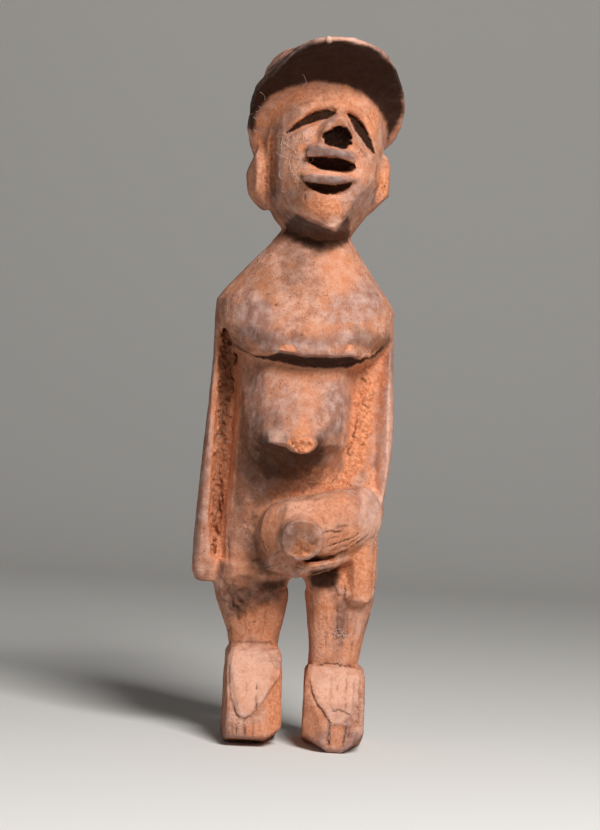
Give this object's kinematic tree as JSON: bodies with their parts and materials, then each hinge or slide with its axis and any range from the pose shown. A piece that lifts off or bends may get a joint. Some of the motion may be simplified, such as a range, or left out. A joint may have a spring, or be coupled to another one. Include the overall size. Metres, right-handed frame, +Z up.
{
  "type": "ancestor figure",
  "caption": "Carved wooden standing figure in a peaked cap, one hand at the belly round a billet, one arm straight, on two block feet.",
  "frame": {"origin": "middle of the bounding box, on the plane of the soles", "axes": "+Z up from the soles to the cap, -Y the way the figure faces, +X towards the figure's left arm"},
  "size_m": [0.0648, 0.0694, 0.2312],
  "materials": {
    "dusty_wood": "old carved wood, worn smooth on its edges and coated with dry orange earth"
  },
  "bodies": {
    "root": {"figure": "dusty_wood"}
  },
  "joints": []
}
